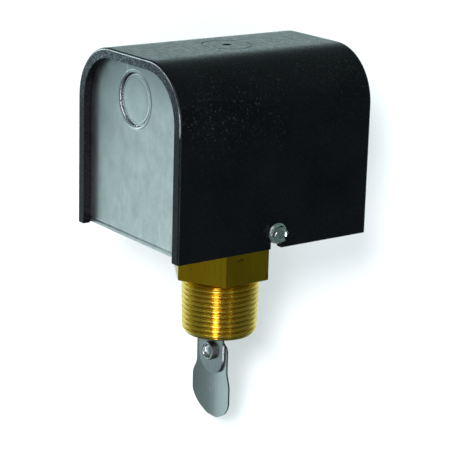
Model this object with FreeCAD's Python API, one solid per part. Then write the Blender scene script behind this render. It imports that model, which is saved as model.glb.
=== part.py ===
import FreeCAD, Part
import math
import os
from FreeCAD import Vector as V

os.makedirs("parts", exist_ok=True)

# Paddle flow switch for 1 in pipe. Millimetres, +Z up.
# Origin: on the axis of the pipe thread, in the plane of the hex's lower face.
# X runs along the pipe that is watched (flow goes towards +X), Y across it.

# ---- driving dimensions -------------------------------------------------
# cover: inverted U with a lip round each open end
COVER_X0, COVER_X1 = -48.15, 47.25   # ends along X, a little longer upstream
COVER_W = 75.6          # along Y
COVER_TOP = 98.2
COVER_BOTTOM = 20.4
COVER_R = 23.1          # outer radius of the two shoulders
COVER_WALL = 3.0
LIP_SIDE = 4.5          # lip thickness on the sides
LIP_TOP = 4.1           # and under the top
LIP_DEPTH = 3.2         # how far each lip reaches in along X
NOTCH_W = 5.4           # screw notch in the middle of each long edge
SCREW_Z = 27.0          # axis of the two cover screws
MARK_R = 10.3           # pressed ring in the top
# bracket: U of galvanised sheet
SHEET = 1.5
BASE_BOTTOM = 21.5
BEND_R = 2.4            # outer bend radius
PLATE_X = {-1: 44.65, 1: 43.75}      # outer face of each end plate
SKIRT_BOTTOM = 20.9     # lower edge of the end plates, under the fold
PLATE_GAP = 0.5         # to the inside of the cover
KO_Z = 79.4             # conduit knockouts, 1/2 in trade size
KO_R = 11.1
# brass body
HEX_AF = 38.1
HEX_H = 19.5
THREAD_END = -25.6
PITCH = 25.4 / 11.5     # 1 in NPT
CREST_TOP = 16.75       # thread crest radius under the hex
CREST_END = 16.1
THREAD_DEPTH = 1.45
BORE_R = 10.8
NECK_R = 13.0
NECK_TOP = 27.5
# arm and its pivot
PIVOT_Z = 34.0
TILT = 1.8              # the arm hangs this far upstream with no flow, degrees
SWING = 6.0             # travel of the arm from rest, degrees
PIN_R = 1.5
ROD_R = 2.5
TAB_W = 17.3
TAB_T = 0.9
TAB_X = -4.19           # front face of the tab, which hangs plumb at rest
TAB_BOTTOM = -44.6
PADDLE_T = 0.8
PADDLE_R = 80.0         # the paddle is dished towards the flow
PADDLE_TOP = -30.0
PADDLE_TIP = -64.7
NECK_W = 10.9             # half widths of the paddle
BLADE_W = 13.25
SCREW_HOLE_Z = -34.2
# snap switch
SW_X0, SW_X1 = 12.0, 29.5
SW_Y = 24.5
SW_Z0, SW_Z1 = 42.75, 67.0
PLUNGER_X = 20.75
PLUNGER_TIP = 40.35
# range adjustment
ADJ_X = -24.0


def box(x0, x1, y0, y1, z0, z1):
    return Part.makeBox(x1 - x0, y1 - y0, z1 - z0, V(x0, y0, z0))


def cyl(r, p, d, h):
    return Part.makeCylinder(r, h, V(*p), V(*d))


def tube(ro, ri, p, d, h):
    return cyl(ro, p, d, h).cut(cyl(ri, p, d, h))


def hexagon(af, z0, h, cx=0.0, cy=0.0, turn=0.0):
    r = af / math.sqrt(3.0)
    pts = [V(cx + r * math.cos(math.radians(turn + 60 * i)),
             cy + r * math.sin(math.radians(turn + 60 * i)), z0) for i in range(6)]
    return Part.Face(Part.makePolygon(pts + [pts[0]])).extrude(V(0, 0, h))


def revolve(rz):
    """Solid of revolution about Z from a closed list of (radius, z)."""
    pts = [V(r, 0, z) for r, z in rz]
    return Part.Face(Part.makePolygon(pts + [pts[0]])).revolve(V(0, 0, 0), V(0, 0, 1), 360)


def arch_face(x, half_w, z0, z1, r):
    """Outline of an inverted U in the plane X = x."""
    k = r * math.sqrt(0.5)
    a = V(x, -half_w, z0)
    b = V(x, -half_w, z1 - r)
    bm = V(x, -half_w + r - k, z1 - r + k)
    c = V(x, -half_w + r, z1)
    d = V(x, half_w - r, z1)
    dm = V(x, half_w - r + k, z1 - r + k)
    e = V(x, half_w, z1 - r)
    f = V(x, half_w, z0)
    edges = [Part.makeLine(a, b), Part.Arc(b, bm, c).toShape(), Part.makeLine(c, d),
             Part.Arc(d, dm, e).toShape(), Part.makeLine(e, f), Part.makeLine(f, a)]
    return Part.Face(Part.Wire(edges))


def arch(x0, x1, half_w, z0, z1, r):
    return arch_face(x0, half_w, z0, z1, r).extrude(V(x1 - x0, 0, 0))


def one(shape):
    """The single solid of a result, cleaned of split faces."""
    s = shape.removeSplitter()
    solids = s.Solids
    if len(solids) != 1:
        raise ValueError("expected one solid, got %d" % len(solids))
    return solids[0]


def group(*solids):
    return Part.makeCompound([one(s) for s in solids])


def fillet(shape, radius, pick):
    edges = [e for e in shape.Edges if pick(e)]
    return shape.makeFillet(radius, edges)


def turned(shape, angle=TILT):
    """Carries a piece of the arm from the upright arm's frame to its rest position."""
    s = shape.copy()
    s.rotate(V(0, 0, PIVOT_Z), V(0, 1, 0), angle)
    return s


NODES = {}
W2 = COVER_W / 2

# ---- cover --------------------------------------------------------------
outer = arch(COVER_X0, COVER_X1, W2, COVER_BOTTOM, COVER_TOP, COVER_R)
# soft outer corner round each end and along the lower edges
outer = fillet(outer, 1.0, lambda e: min(abs(e.CenterOfMass.x - COVER_X0), abs(e.CenterOfMass.x - COVER_X1)) < 1e-6
               and e.BoundBox.XLength < 1e-6 and e.CenterOfMass.z > COVER_BOTTOM + 0.1)
cavity = arch(COVER_X0 + LIP_DEPTH, COVER_X1 - LIP_DEPTH, W2 - COVER_WALL, COVER_BOTTOM - 1,
              COVER_TOP - COVER_WALL, COVER_R - COVER_WALL)
mouth = arch(COVER_X0 - 1, COVER_X1 + 1, W2 - LIP_SIDE, COVER_BOTTOM - 1,
             COVER_TOP - LIP_TOP, COVER_R - LIP_TOP)
cover = outer.cut(cavity).cut(mouth)
for s in (-1, 1):
    y = s * W2
    slot = box(-NOTCH_W / 2, NOTCH_W / 2, min(y, y - s * 6) - 1, max(y, y - s * 6) + 1,
               COVER_BOTTOM - 1, SCREW_Z)
    slot = slot.fuse(cyl(NOTCH_W / 2, (0, s * (W2 - 8), SCREW_Z), (0, s, 0), 10))
    cover = cover.cut(slot)
# pressed ring and centre dimple in the top
ring = tube(MARK_R + 0.3, MARK_R - 0.3, (0, 0, COVER_TOP - 0.25), (0, 0, 1), 1)
dimple = Part.makeCone(1.2, 2.0, 0.9, V(0, 0, COVER_TOP - 0.9)).fuse(
    cyl(2.0, (0, 0, COVER_TOP), (0, 0, 1), 1))
cover = one(cover.cut(ring).cut(dimple))
NODES["cover"] = cover

# ---- galvanised bracket -------------------------------------------------
PW = W2 - COVER_WALL - PLATE_GAP
PT = COVER_TOP - COVER_WALL - PLATE_GAP - 0.1
PR = COVER_R - COVER_WALL - PLATE_GAP
BASE_TOP = BASE_BOTTOM + SHEET
# side profile of base and end plates, swept across the width
prof = box(-PLATE_X[-1], PLATE_X[1], -PW, PW, BASE_BOTTOM, PT)
prof = fillet(prof, BEND_R, lambda e: e.BoundBox.YLength > 2 * PW - 1
              and e.CenterOfMass.z < BASE_BOTTOM + 0.1)
hollow = box(-PLATE_X[-1] + SHEET, PLATE_X[1] - SHEET, -PW - 1, PW + 1, BASE_TOP, PT + 5)
hollow = fillet(hollow, BEND_R - SHEET, lambda e: e.BoundBox.YLength > 2 * PW + 1
                and e.CenterOfMass.z < BASE_TOP + 0.1)
bracket = prof.cut(hollow).common(arch(-PLATE_X[-1] - 1, PLATE_X[1] + 1, PW, BASE_BOTTOM - 1, PT, PR))
# small relief where each end plate bends up
for sx in (-1, 1):
    xr = sx * (PLATE_X[sx] - 3.45)
    for sy in (-1, 1):
        bracket = bracket.cut(box(xr - 0.7, xr + 0.7,
                                  min(sy * (PW - 1.6), sy * (PW + 1)), max(sy * (PW - 1.6), sy * (PW + 1)),
                                  BASE_BOTTOM - 1, BASE_TOP + 1))
# side ears that take the cover screws
EAR_W = 8.0
for s in (-1, 1):
    y1 = s * PW
    y0 = s * (PW - SHEET)
    ear = box(-EAR_W, EAR_W, min(y0, y1), max(y0, y1), BASE_BOTTOM, 34.0)
    ear = fillet(ear, 1.2, lambda e: e.BoundBox.XLength > 2 * EAR_W - 1
                 and e.CenterOfMass.z < BASE_BOTTOM + 0.1 and abs(abs(e.CenterOfMass.y) - PW) < 1e-6)
    ear = fillet(ear, 3.0, lambda e: e.BoundBox.YLength > SHEET - 0.01
                 and e.BoundBox.ZLength < 1e-6 and e.BoundBox.XLength < 1e-6 and e.CenterOfMass.z > 33.9)
    # the base is cut back at the ear so that the fold has a round back
    bracket = bracket.cut(box(-EAR_W - 1.2, EAR_W + 1.2, min(s * (PW - 1.45), s * (PW + 1)),
                              max(s * (PW - 1.45), s * (PW + 1)), BASE_BOTTOM - 1, BASE_TOP + 1))
    bracket = bracket.fuse(ear)
    bracket = bracket.cut(cyl(2.1, (0, s * 30, SCREW_Z), (0, s, 0), 8))
# tab that keeps the spring seat from turning
bracket = bracket.fuse(box(ADJ_X - 7.1, ADJ_X - 5.6, -4, 4, BASE_TOP - 0.5, 30.5))
# holes: body neck, adjusting screw foot, yoke screws, switch bracket screws, ground screw
GROUND = (-35.0, -22.0)
bracket = bracket.cut(cyl(NECK_R + 0.15, (0, 0, BASE_BOTTOM - 1), (0, 0, 1), 4))
bracket = bracket.cut(cyl(1.55, (ADJ_X, 0, BASE_BOTTOM - 1), (0, 0, 1), 4))
for y in (-24.6, 24.6):
    bracket = bracket.cut(cyl(1.77, (0, y, BASE_BOTTOM - 1), (0, 0, 1), 4))
for y in (-14, 14):
    bracket = bracket.cut(cyl(1.77, (36.5, y, BASE_BOTTOM - 1), (0, 0, 1), 4))
bracket = bracket.cut(cyl(2.1, (GROUND[0], GROUND[1], BASE_BOTTOM - 1), (0, 0, 1), 4))
# knockout openings in both end plates
for s in (-1, 1):
    bracket = bracket.cut(cyl(KO_R, (s * (PLATE_X[s] - 5), 0, KO_Z), (s, 0, 0), 8))
# folded strip under each end plate, standing a hair proud of it
for s in (-1, 1):
    xa, xb = s * (PLATE_X[s] - SHEET), s * (PLATE_X[s] + 0.15)
    strip = box(min(xa, xb), max(xa, xb), -33.0, 33.0, SKIRT_BOTTOM, BASE_BOTTOM + 0.9)
    strip = fillet(strip, 0.5, lambda e: e.BoundBox.YLength > 65
                   and e.CenterOfMass.z < SKIRT_BOTTOM + 0.05 and abs(e.CenterOfMass.x - xb) < 1e-6)
    strip = strip.makeChamfer(0.14, [e for e in strip.Edges if e.BoundBox.YLength > 65
                                     and e.CenterOfMass.z > BASE_BOTTOM + 0.8
                                     and abs(e.CenterOfMass.x - xb) < 1e-6])
    bracket = bracket.fuse(strip)
bracket = one(bracket)
NODES["base_bracket"] = bracket

# knockout slugs, pushed in slightly and held by one tie at the bottom
slugs = []
for s in (-1, 1):
    xo = s * (PLATE_X[s] - 0.45)
    slug = cyl(KO_R - 0.22, (xo, 0, KO_Z), (-s, 0, 0), SHEET - 0.25)
    tie = box(min(xo - s * 0.2, xo - s * 1.0), max(xo - s * 0.2, xo - s * 1.0), -1.1, 1.1,
              KO_Z - KO_R, KO_Z - KO_R + 1.2).common(cyl(KO_R, (xo, 0, KO_Z), (-s, 0, 0), SHEET))
    slugs.append(slug.fuse(tie))
NODES["knockout_slugs"] = group(*slugs)

# ---- brass body ---------------------------------------------------------
rz = [(BORE_R, THREAD_END)]
span = -THREAD_END


def crest(z):
    return CREST_TOP + (CREST_TOP - CREST_END) * z / span


rz.append((14.9, THREAD_END))
rz.append((crest(THREAD_END + 1.9), THREAD_END + 1.9))
zc = -2.05 - 9 * PITCH
flat = 0.28
while zc < -0.6:
    r = crest(zc)
    if zc - PITCH / 2 > THREAD_END + 1.9:
        rz.append((crest(zc - PITCH / 2) - THREAD_DEPTH, zc - PITCH / 2))
    rz.append((r, zc - flat))
    rz.append((r, zc + flat))
    zc += PITCH
rz.append((15.3, -1.0))
rz.append((15.3, 0.0))
rz.append((15.3, 1.0))
rz.append((BORE_R, 1.0))
thread = revolve(rz)
body = hexagon(HEX_AF, 0.0, HEX_H)
# the hex's top corners are turned back; the lower ones are crisp
lim = revolve([(0, -1), (HEX_AF, -1), (HEX_AF, HEX_H - 9.4), (HEX_AF / 2 + 0.2, HEX_H), (0, HEX_H)])
body = body.common(lim)
body = body.fuse(cyl(NECK_R, (0, 0, HEX_H - 0.5), (0, 0, 1), NECK_TOP - HEX_H + 0.5))
body = body.cut(cyl(BORE_R, (0, 0, -1), (0, 0, 1), NECK_TOP + 2))
body = body.fuse(thread)
body = one(body)
NODES["pipe_body"] = body

NODES["body_gasket"] = one(tube(19.0, NECK_R + 0.1, (0, 0, HEX_H), (0, 0, 1), BASE_BOTTOM - HEX_H))
nut = hexagon(32.0, BASE_TOP, 4.0, turn=30).common(
    revolve([(0, BASE_TOP), (17.6, BASE_TOP), (18.4, BASE_TOP + 0.8), (18.4, BASE_TOP + 3.2),
             (17.2, BASE_TOP + 4.0), (0, BASE_TOP + 4.0)]))
NODES["body_locknut"] = one(nut.cut(cyl(NECK_R + 0.03, (0, 0, BASE_TOP - 1), (0, 0, 1), 6)))

# sealing bellows: thin corrugated tube with a flange clamped on the neck
bw = 0.3
folds = 7
zb0, zb1 = 3.0, 25.6
step = (zb1 - zb0) / folds
out_side, in_side = [], []
for i in range(folds):
    z = zb0 + i * step
    out_side += [(7.1, z), (9.7, z + 0.25 * step), (9.7, z + 0.5 * step), (7.1, z + 0.75 * step)]
for r, z in out_side:
    in_side.append((r - bw, z + (bw if r < 8 else 0.0) * 0.0))
out_side = [(5.6, zb0 - 0.6), (7.1, zb0 - 0.6)] + out_side + [(7.1, zb1), (9.6, zb1 + 0.9), (9.6, NECK_TOP), (12.4, NECK_TOP)]
in_side = [(5.6, zb0 - 0.2), (6.75, zb0 - 0.2)] + in_side + [(6.75, zb1 + 0.3), (9.2, zb1 + 1.2), (9.2, NECK_TOP + 0.8), (12.4, NECK_TOP + 0.8)]
NODES["bellows"] = one(revolve(out_side + in_side[::-1]))

# ---- pivot yoke over the locknut ---------------------------------------
D0, D1 = NECK_TOP + 0.8, NECK_TOP + 2.3
yoke = box(-8, 8, -21.0, 21.0, D0, D1)
for s in (-1, 1):
    yoke = yoke.fuse(box(-8, 8, min(s * 19.5, s * 21.0), max(s * 19.5, s * 21.0), BASE_TOP, D1))
    yoke = yoke.fuse(box(-8, 8, min(s * 19.5, s * 28.0), max(s * 19.5, s * 28.0), BASE_TOP, BASE_TOP + SHEET))
    ear = box(-5, 5, min(s * 8.0, s * 9.5), max(s * 8.0, s * 9.5), D1 - 0.5, PIVOT_Z + 4.6)
    ear = fillet(ear, 4.4, lambda e: e.BoundBox.YLength > 1.4 and e.BoundBox.ZLength < 1e-6
                 and e.BoundBox.XLength < 1e-6 and e.CenterOfMass.z > PIVOT_Z + 4)
    yoke = yoke.fuse(ear)
yoke = yoke.cut(cyl(6.2, (0, 0, D0 - 1), (0, 0, 1), 4))
yoke = yoke.cut(cyl(PIN_R + 0.02, (0, -12, PIVOT_Z), (0, 1, 0), 24))
for y in (-24.6, 24.6):
    yoke = yoke.cut(cyl(1.9, (0, y, BASE_TOP - 1), (0, 0, 1), 4))
NODES["pivot_yoke"] = one(yoke)


def pan_screw(x, y, z, r_head, h_head, r, length, slot=True):
    """Pan head screw pointing down, its head standing on z."""
    head = revolve([(0, 0), (r_head, 0), (r_head, h_head * 0.45), (r_head * 0.82, h_head * 0.85),
                    (r_head * 0.5, h_head), (0, h_head)])
    s = head.fuse(cyl(r, (0, 0, -length), (0, 0, 1), length + 0.2))
    if slot:
        s = s.cut(box(-0.45, 0.45, -r_head - 1, r_head + 1, h_head * 0.45, h_head + 1))
    s.translate(V(x, y, z))
    return s


NODES["yoke_screws"] = group(*[pan_screw(0, y, BASE_TOP + SHEET, 3.1, 2.2, 1.75, 3.8) for y in (-24.6, 24.6)])

pin = cyl(PIN_R, (0, -11.4, PIVOT_Z), (0, 1, 0), 22.4)
pin = pin.fuse(cyl(2.4, (0, -11.4, PIVOT_Z), (0, 1, 0), 1.6))
pin = pin.cut(tube(2.0, 1.15, (0, 9.75, PIVOT_Z), (0, 1, 0), 0.6))
NODES["pivot_pin"] = one(pin)
clip = tube(2.9, 1.2, (0, 9.8, PIVOT_Z), (0, 1, 0), 0.5).cut(box(-0.9, 0.9, 9, 11, PIVOT_Z, PIVOT_Z + 4))
NODES["pin_clip"] = one(clip)

# ---- arm, modelled upright and then hung at its rest tilt ---------------
hub = box(-4.5, 4.5, -7.7, 7.7, 31.0, 38.0)
hub = fillet(hub, 1.0, lambda e: e.BoundBox.YLength > 15)
hub = hub.cut(cyl(PIN_R + 0.04, (0, -9, PIVOT_Z), (0, 1, 0), 18))
rod_hole = cyl(ROD_R + 0.02, (0, 0, 37.0 - 0.5), (0, 0, 1), 3)
hub = hub.cut(cyl(1.6, (0, 0, 36.0), (0, 0, 1), 3)).cut(cyl(ROD_R + 0.02, (0, 0, 30.0), (0, 0, 1), 2.0))
NODES["arm_hub"] = turned(one(hub))

# rod below the hub, stepped into its underside; its foot has a plumb flat that the tab is welded to
rod = cyl(ROD_R, (0, 0, -29.0), (0, 0, 1), 61.0)
rod = rod.fuse(cyl(4.6, (0, 0, -0.8), (0, 0, 1), 1.2))
rod = turned(one(rod)).cut(box(-10, TAB_X + TAB_T, -10, 10, -32, -12.6))
NODES["arm_rod"] = one(rod)

# stud, lever and nut on top of the hub
stud = cyl(1.58, (0, 0, 36.0), (0, 0, 1), 10.0)
NODES["lever_stud"] = turned(one(stud))
lever = box(ADJ_X - 5.0, 24.0, -5.0, 5.0, 38.0, 39.5)
lever = lever.fuse(box(ADJ_X - 5.0, ADJ_X + 6.5, -6.6, 6.6, 38.0, 39.5))
lever = fillet(one(lever), 2.0, lambda e: e.BoundBox.ZLength > 1.4 and (e.CenterOfMass.x > 23.9 or e.CenterOfMass.x < ADJ_X - 4.9))
lever = lever.cut(box(ADJ_X - 10.0, ADJ_X, -2.9, 2.9, 37, 41)).cut(cyl(2.9, (ADJ_X, 0, 37), (0, 0, 1), 4))
lever = lever.cut(cyl(1.65, (0, 0, 37), (0, 0, 1), 4))
NODES["trip_lever"] = turned(one(lever))
NODES["lever_nut"] = turned(one(hexagon(8.0, 39.5, 3.2).cut(cyl(1.6, (0, 0, 39), (0, 0, 1), 5))))
# cup under the fork that holds the top of the range spring
cap = tube(5.8, 4.9, (ADJ_X, 0, 34.8), (0, 0, 1), 3.2).fuse(tube(5.8, 2.9, (ADJ_X, 0, 37.2), (0, 0, 1), 0.8))
NODES["spring_cap"] = turned(one(cap))

# tab: thin plate with a round lower end
tip = cyl(TAB_W / 2, (TAB_X, 0, TAB_BOTTOM + TAB_W / 2), (1, 0, 0), TAB_T)
tab = box(TAB_X, TAB_X + TAB_T, -TAB_W / 2, TAB_W / 2, TAB_BOTTOM + TAB_W / 2, -13.0).fuse(tip)
tab = fillet(one(tab), 2.0, lambda e: e.BoundBox.XLength > TAB_T - 0.01 and e.BoundBox.ZLength < 1e-6
             and e.BoundBox.YLength < 1e-6 and e.CenterOfMass.z > -13.1)
tab = tab.cut(cyl(2.05, (-8, 0, SCREW_HOLE_Z), (1, 0, 0), 12))
NODES["arm_tab"] = one(tab)

# paddle: outline in Y and Z, cut from a dished sheet
c0 = TAB_X + TAB_T + (TAB_W / 2) ** 2 / (2 * PADDLE_R) + 0.02


def pv(y, z):
    return V(-12, y, z)


half = []
half.append(Part.makeLine(pv(0, PADDLE_TOP), pv(-NECK_W + 2.6, PADDLE_TOP)))
half.append(Part.Arc(pv(-NECK_W + 2.6, PADDLE_TOP),
                     pv(-NECK_W + 2.6 - 2.6 * math.sqrt(0.5), PADDLE_TOP - 2.6 + 2.6 * math.sqrt(0.5)),
                     pv(-NECK_W, PADDLE_TOP - 2.6)).toShape())
half.append(Part.makeLine(pv(-NECK_W, PADDLE_TOP - 2.6), pv(-NECK_W, -41.2)))
sp = Part.BSplineCurve()
sp.interpolate([pv(-NECK_W, -41.2), pv(-NECK_W - 0.6, -43.7), pv(-BLADE_W + 0.62, -46.2), pv(-BLADE_W, -49.4)],
               InitialTangent=V(0, 0, -1), FinalTangent=V(0, 0, -1))
half.append(sp.toShape())
half.append(Part.makeLine(pv(-BLADE_W, -49.4), pv(-BLADE_W, -54.6)))
sp2 = Part.BSplineCurve()
sp2.interpolate([pv(-BLADE_W, -54.6), pv(-12.2, -58.0), pv(-9.3, -61.4), pv(-5.2, -63.8), pv(0, PADDLE_TIP)],
                InitialTangent=V(0, 0, -1), FinalTangent=V(0, 1, 0))
half.append(sp2.toShape())
mirrored = [e.mirror(V(0, 0, 0), V(0, 1, 0)) for e in half]
outline = Part.Wire(Part.__sortEdges__(half + mirrored))
blank = Part.Face(outline).extrude(V(20, 0, 0))
sheet = tube(PADDLE_R + PADDLE_T, PADDLE_R, (c0 - PADDLE_R, 0, -70), (0, 0, 1), 45)
sheet = sheet.common(box(-8, 8, -16, 16, -70, -25))
paddle = blank.common(sheet).cut(cyl(2.05, (-8, 0, SCREW_HOLE_Z), (1, 0, 0), 12))
NODES["paddle"] = one(paddle)


def turned_ring(profile):
    """Solid of revolution about the screw's axis from (radius, height in front of the tab) points."""
    pts = [V(TAB_X - h, r, SCREW_HOLE_Z) for r, h in profile]
    return Part.Face(Part.makePolygon(pts + [pts[0]])).revolve(V(0, 0, SCREW_HOLE_Z), V(1, 0, 0), 360)


# deep cup washer in front of the tab, with the round screw head sunk in it
cup = turned_ring([(2.1, 0.0), (4.15, 0.0), (4.15, 1.30), (4.05, 1.65), (3.85, 1.90), (3.60, 1.98), (3.36, 1.90),
                   (3.20, 1.66), (2.95, 0.62), (2.72, 0.34), (2.1, 0.34)])
NODES["cup_washer"] = one(cup)
head = turned_ring([(0.0, 0.34), (2.42, 0.34), (2.45, 0.55), (2.34, 0.80), (2.05, 1.05), (1.6, 1.24), (1.0, 1.36), (0.45, 1.41),
                    (0.0, 1.42)])
shank = cyl(2.0, (TAB_X - 0.5, 0, SCREW_HOLE_Z), (1, 0, 0), 7.4)
NODES["paddle_screw"] = one(head.fuse(shank))
# split lock washer and nut behind the paddle
xw = c0 + PADDLE_T
wash = tube(3.7, 2.1, (xw, 0, SCREW_HOLE_Z), (1, 0, 0), 0.9)
gap = box(xw - 1, xw + 2, -0.35, 0.35, SCREW_HOLE_Z - 6, SCREW_HOLE_Z)
gap.rotate(V(0, 0, SCREW_HOLE_Z), V(1, 0, 0), 28)
NODES["lock_washer"] = one(wash.cut(gap))
xn = xw + 0.9
nutp = Part.Face(Part.makePolygon([V(xn, 4.05 * math.cos(math.radians(a)), SCREW_HOLE_Z + 4.05 * math.sin(math.radians(a)))
                                   for a in (0, 60, 120, 180, 240, 300, 360)])).extrude(V(2.4, 0, 0))
NODES["paddle_nut"] = one(nutp.cut(cyl(2.02, (xn - 1, 0, SCREW_HOLE_Z), (1, 0, 0), 5)))

# ---- range adjustment ---------------------------------------------------
SEAT0, SEAT1 = 26.8, 29.0
adj = cyl(1.5, (ADJ_X, 0, BASE_BOTTOM + 0.2), (0, 0, 1), 2.0)
adj = adj.fuse(cyl(3.0, (ADJ_X, 0, BASE_TOP + 0.05), (0, 0, 1), 1.4))
adj = adj.fuse(cyl(1.95, (ADJ_X, 0, BASE_TOP + 1.0), (0, 0, 1), 19.5))
adj = adj.fuse(cyl(3.3, (ADJ_X, 0, 43.0), (0, 0, 1), 2.4))
adj = adj.cut(box(ADJ_X - 0.5, ADJ_X + 0.5, -4, 4, 44.2, 46))
NODES["adjusting_screw"] = one(adj)
seat = box(ADJ_X - 5.2, ADJ_X + 5.2, -5.2, 5.2, SEAT0, SEAT1)
seat = fillet(seat, 1.0, lambda e: e.BoundBox.ZLength > 2)
NODES["spring_seat"] = one(seat.cut(cyl(2.0, (ADJ_X, 0, SEAT0 - 1), (0, 0, 1), 5)))
# range spring with its ends closed down on the seat and the cup
SP0, SP1 = SEAT1 + 0.05, 37.62
wire = 0.7
mean = 3.45
turns = 5.0
helix = Part.makeLongHelix((SP1 - SP0 - wire) / turns, SP1 - SP0 - wire, mean, 0)
helix.translate(V(0, 0, 0))
prof_w = Part.Wire([Part.makeCircle(wire / 2, V(mean, 0, 0), V(0, 1, 0))])
spring = Part.Wire(helix.Edges).makePipeShell([prof_w], True, True)
spring.translate(V(ADJ_X, 0, SP0 + wire / 2))
NODES["range_spring"] = spring.Solids[0] if spring.Solids else Part.Solid(spring)

# ---- snap switch --------------------------------------------------------
case = box(SW_X0 + 2.5, SW_X1, -SW_Y, SW_Y, SW_Z0, SW_Z1)
case = fillet(case, 0.8, lambda e: e.BoundBox.XLength > 10)
case = case.cut(box(SW_X0, SW_X1 - 1.5, -21.0, 21.0, 46.0, 60.0))
case = case.cut(cyl(1.75, (PLUNGER_X, 0, SW_Z0 - 1), (0, 0, 1), 6))
HOLES = [(-12.7, 63.4), (12.7, 63.4)]
lid = box(SW_X0, SW_X0 + 2.5, -SW_Y, SW_Y, SW_Z0, SW_Z1)
lid = fillet(lid, 0.8, lambda e: e.BoundBox.XLength > 2)
for y, z in HOLES:
    case = case.cut(cyl(1.85, (SW_X0 - 1, y, z), (1, 0, 0), 22))
    lid = lid.cut(cyl(1.85, (SW_X0 - 1, y, z), (1, 0, 0), 22))
TERM_Y = (-19.0, 0.0, 19.0)
TERM_X = 21.0
for y in TERM_Y:
    case = case.cut(cyl(1.6, (TERM_X, y, 61.2), (0, 0, 1), 8))
# posts for the blade pin and pockets for the fixed contacts
case = case.cut(cyl(0.62, (SW_X1 - 2.5, -17.0, 50.0), (1, 0, 0), 1.6))
lid = lid.cut(cyl(0.62, (SW_X0 + 1.0, -17.0, 50.0), (1, 0, 0), 1.6))
NODES["switch_case"] = one(case)
NODES["switch_lid"] = one(lid)
NODES["switch_plunger"] = one(
    cyl(1.6, (PLUNGER_X, 0, PLUNGER_TIP), (0, 0, 1), 49.4 - PLUNGER_TIP)
    .fuse(cyl(2.8, (PLUNGER_X, 0, 46.15), (0, 0, 1), 1.0)))
BX0, BX1 = 17.6, 24.4
blade = box(BX0, BX1, -15.9, 14.0, 49.75, 50.15)
blade = blade.fuse(cyl(1.2, (BX0, -17.0, 50.0), (1, 0, 0), BX1 - BX0))
blade = blade.fuse(cyl(1.5, (PLUNGER_X, 12.0, 49.3), (0, 0, 1), 1.3))
blade = blade.cut(cyl(0.64, (BX0 - 1, -17.0, 50.0), (1, 0, 0), 10))
NODES["contact_blade"] = one(blade)
NODES["blade_pin"] = one(cyl(0.6, (SW_X0 + 1.2, -17.0, 50.0), (1, 0, 0), 15.2))
low = box(PLUNGER_X - 2.5, PLUNGER_X + 2.5, 10.0, 20.9, 46.05, 47.2).fuse(cyl(1.6, (PLUNGER_X, 12, 47.0), (0, 0, 1), 1.95))
high = box(PLUNGER_X - 2.5, PLUNGER_X + 2.5, 10.0, 20.9, 55.0, 56.1).fuse(cyl(1.6, (PLUNGER_X, 12, 53.0), (0, 0, 1), 2.2))
NODES["fixed_contacts"] = group(low, high)
# terminal plates and screws on top
plates, tscrews = [], []
for y in TERM_Y:
    p = box(TERM_X - 4.6, TERM_X + 4.6, y - 4.2, y + 4.2, SW_Z1, SW_Z1 + 0.8)
    p = p.fuse(box(TERM_X - 4.6, TERM_X - 3.8, y - 4.2, y + 4.2, SW_Z1, SW_Z1 + 2.4))
    plates.append(p.cut(cyl(1.7, (TERM_X, y, SW_Z1 - 1), (0, 0, 1), 4)))
    tscrews.append(pan_screw(TERM_X, y, SW_Z1 + 0.8, 3.4, 2.3, 1.55, 5.6))
NODES["terminal_plates"] = group(*plates)
NODES["terminal_screws"] = group(*tscrews)

# insulating card behind the switch, then the bracket it is screwed to
card = box(SW_X1, SW_X1 + 0.3, -25.5, 25.5, 41.5, 69.0)
sb = box(SW_X1 + 0.3, SW_X1 + 1.8, -20, 20, BASE_TOP, 69.5)
sb = sb.fuse(box(SW_X1 + 0.3, 41.1, -20, 20, BASE_TOP, BASE_TOP + SHEET))
sb = fillet(one(sb), 1.0, lambda e: e.BoundBox.YLength > 39 and abs(e.CenterOfMass.x - SW_X1 - 0.3) < 1e-6
            and e.CenterOfMass.z < BASE_TOP + 0.1)
sb = fillet(sb, 4.0, lambda e: e.BoundBox.XLength > 1.4 and e.BoundBox.XLength < 1.6 and e.BoundBox.YLength < 1e-6
            and e.CenterOfMass.z > 69.4)
for y, z in HOLES:
    card = card.cut(cyl(1.85, (SW_X1 - 1, y, z), (1, 0, 0), 4))
    sb = sb.cut(cyl(1.85, (SW_X1 - 1, y, z), (1, 0, 0), 4))
for y in (-14, 14):
    sb = sb.cut(cyl(1.9, (36.5, y, BASE_TOP - 1), (0, 0, 1), 4))
NODES["insulating_card"] = one(card)
NODES["switch_bracket"] = one(sb)


def pan_screw_x(x, y, z, r_head, h_head, r, length):
    """Pan head screw pointing along +X, its head standing on the plane X = x."""
    s = pan_screw(0, 0, 0, r_head, h_head, r, length)
    s.rotate(V(0, 0, 0), V(0, 1, 0), -90)
    s.translate(V(x, y, z))
    return s


NODES["switch_screws"] = group(*[pan_screw_x(SW_X0, y, z, 3.3, 2.3, 1.75, 22.0) for y, z in HOLES])
nuts = []
for y, z in HOLES:
    n = hexagon(7.9, 0, 2.6, turn=30).cut(cyl(1.78, (0, 0, -1), (0, 0, 1), 5))
    n.rotate(V(0, 0, 0), V(0, 1, 0), 90)
    n.translate(V(SW_X1 + 1.8, y, z))
    nuts.append(n)
NODES["switch_nuts"] = group(*nuts)
NODES["bracket_screws"] = group(*[pan_screw(36.5, y, BASE_TOP + SHEET, 3.1, 2.2, 1.75, 3.8) for y in (-14, 14)])

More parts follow.
